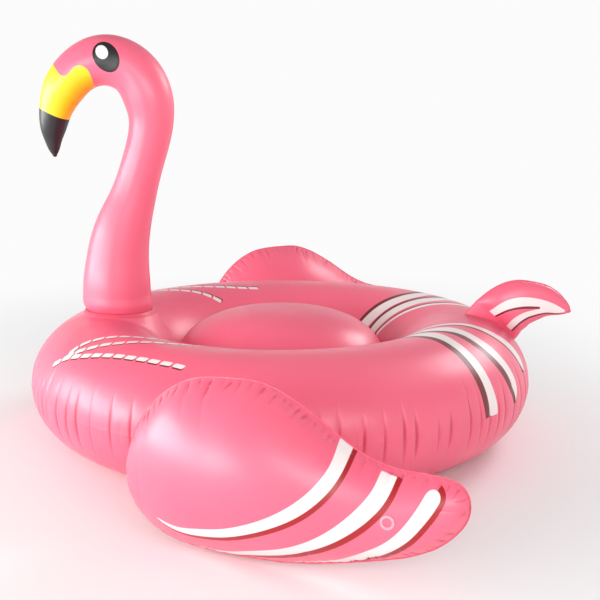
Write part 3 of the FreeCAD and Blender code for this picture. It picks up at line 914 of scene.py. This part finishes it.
def in_wing(wing, q):
    r = q - W_O
    h, w = r @ W_BACK, r @ W_OUT
    top, low = wing.span(np.array([h]))
    half = (top[0] - low[0]) / 2
    thick = half * WING_PLUMP * (1 - ((r[2] - (top[0] + low[0]) / 2) / half) ** 2)
    return abs(w) < thick * 0.97


def hinge_film(wing, rows=60, cols=28):
    """Slack strip of film from the ring's equator to the wing's inner panel."""
    mirror = np.array([wing.side, 1, 1])
    sheet = []
    for k in np.linspace(0, 1, rows):
        q = HINGE_A * (1 - k) + HINGE_B * k
        back = reach_of(q, -HINGE_OUT, in_ring) + 0.002
        out = reach_of(q, HINGE_OUT, lambda x: in_wing(wing, x)) + 0.003
        f = np.linspace(0, 1, cols)
        line = q + HINGE_OUT * (-back + (back + out) * f)[:, None]
        sag = -0.0035 * np.sin(PI * f) + 0.0009 * np.sin(k * 71 + 5 * f) * np.sin(PI * f)
        line[:, 2] += sag
        sheet.append(np.vstack([line + HINGE_HALF_THICK, (line - HINGE_HALF_THICK)[::-1]]))
    ends = [np.repeat(row.mean(0)[None], len(row), 0) for row in (sheet[0], sheet[-1])]
    return np.stack([ends[0]] + sheet + [ends[1]], 1) * mirror


for wing in WINGS:
    obj = grid_piece(f"{wing.body}_hinge_film", hinge_film(wing), None, plain_material,
                     wrap_u=True, flip=wing.side > 0)
    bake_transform(obj)
    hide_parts(f"ring_{wing.word}_web", f"{wing.body}_hinge_tab")


# ------------------------------------------------------------------ carried-over CAD nodes
valve_material = film("valve_film", base=(0.90, 0.34, 0.42, 1), rough=0.20)
clear_material = film("clear_film", base=(0.92, 0.74, 0.78, 1), rough=0.12)
for name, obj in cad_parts.items():
    if not obj.hide_render:
        obj.data.materials.clear()
        obj.data.materials.append(valve_material if name.endswith("_base") else clear_material)

# ------------------------------------------------------------------ floor, light, camera
FLOOR_SIZE, FLOOR_NEAR, FLOOR_FAR, WALL_LIGHT, CEILING_LIGHT = 90.0, 0.8, 2.9, 0.97, 0.38


def pale_floor():
    """White floor that fades into the lit wall far behind the object."""
    mesh = bpy.data.meshes.new("floor")
    a = FLOOR_SIZE
    mesh.from_pydata([(-a, -a, 0), (a, -a, 0), (a, a, 0), (-a, a, 0)], [], [(0, 1, 2, 3)])
    floor = bpy.data.objects.new("floor", mesh)
    bpy.context.scene.collection.objects.link(floor)
    n = Nodes("floor_white")
    n.shader.inputs["Base Color"].default_value = (0.88, 0.88, 0.88, 1)
    n.shader.inputs["Roughness"].default_value = 0.7
    place = n.add("ShaderNodeTexCoord").outputs["Object"]
    far = n.add("ShaderNodeVectorMath", {0: place}, operation="LENGTH").outputs["Value"]
    fade = n.ramp(far, FLOOR_NEAR, FLOOR_FAR)
    lit = n.add("ShaderNodeEmission", {"Color": (1, 1, 1, 1), "Strength": WALL_LIGHT})
    mix = n.tree.nodes.new("ShaderNodeMixShader")
    n.feed(mix.inputs[0], fade)
    n.feed(mix.inputs[1], n.shader.outputs[0])
    n.feed(mix.inputs[2], lit.outputs[0])
    n.feed(n.tree.nodes["Material Output"].inputs["Surface"], mix.outputs[0])
    mesh.materials.append(n.material)


def studio():
    """Bright walls all round under a dimmer ceiling."""
    world = bpy.data.worlds.new("studio")
    bpy.context.scene.world = world
    world.use_nodes = True
    tree = world.node_tree
    background = tree.nodes["Background"]
    background.inputs[0].default_value = (1, 1, 1, 1)
    place = tree.nodes.new("ShaderNodeTexCoord")
    split = tree.nodes.new("ShaderNodeSeparateXYZ")
    level = tree.nodes.new("ShaderNodeMapRange")
    level.interpolation_type = "SMOOTHSTEP"
    tree.links.new(place.outputs["Generated"], split.inputs[0])
    tree.links.new(split.outputs["Z"], level.inputs["Value"])
    level.inputs["From Min"].default_value = 0.20
    level.inputs["From Max"].default_value = 0.55
    level.inputs["To Min"].default_value = WALL_LIGHT
    level.inputs["To Max"].default_value = CEILING_LIGHT
    tree.links.new(level.outputs[0], background.inputs[1])


def area(name, place, aim, power, width, height):
    """Soft rectangular lamp that looks at a point."""
    data = bpy.data.lights.new(name, "AREA")
    data.shape = "RECTANGLE"
    data.size, data.size_y = width, height
    data.energy = power
    obj = bpy.data.objects.new(name, data)
    bpy.context.scene.collection.objects.link(obj)
    obj.location = place
    obj.rotation_euler = (Vector(aim) - Vector(place)).to_track_quat("-Z", "Y").to_euler()


pale_floor()
studio()
bpy.context.scene.view_settings.view_transform = "Standard"
area("left_wall", (0.6, -4.2, 1.1), (0.3, -0.2, 0.5), 120, 3.0, 1.6)
area("low_softbox", (3.0, -3.2, 0.9), (0.3, -0.2, 0.4), 95, 3.2, 1.2)
area("right_back", (-1.8, 2.8, 2.6), (0, 0.2, 0.3), 65, 1.8, 1.5)
area("front_fill", (4.4, 1.0, 1.9), (0.3, 0.1, 0.3), 78, 3.0, 1.2)

AZIMUTH, ELEVATION, DISTANCE, LENS = 92.0, 12.0, 3.3, 63.01
TARGET = Vector((0, 0.0615 + SHIFT_Y, 0.4216))
az, el = math.radians(AZIMUTH), math.radians(ELEVATION)
back = Vector((math.sin(az) * math.cos(el), -math.cos(az) * math.cos(el), math.sin(el)))
camera_data = bpy.data.cameras.new("camera")
camera_data.lens = LENS
camera_data.sensor_width = 36
camera = bpy.data.objects.new("camera", camera_data)
bpy.context.scene.collection.objects.link(camera)
camera.location = TARGET + back * DISTANCE
camera.rotation_euler = (-back).to_track_quat("-Z", "Y").to_euler()
bpy.context.scene.camera = camera
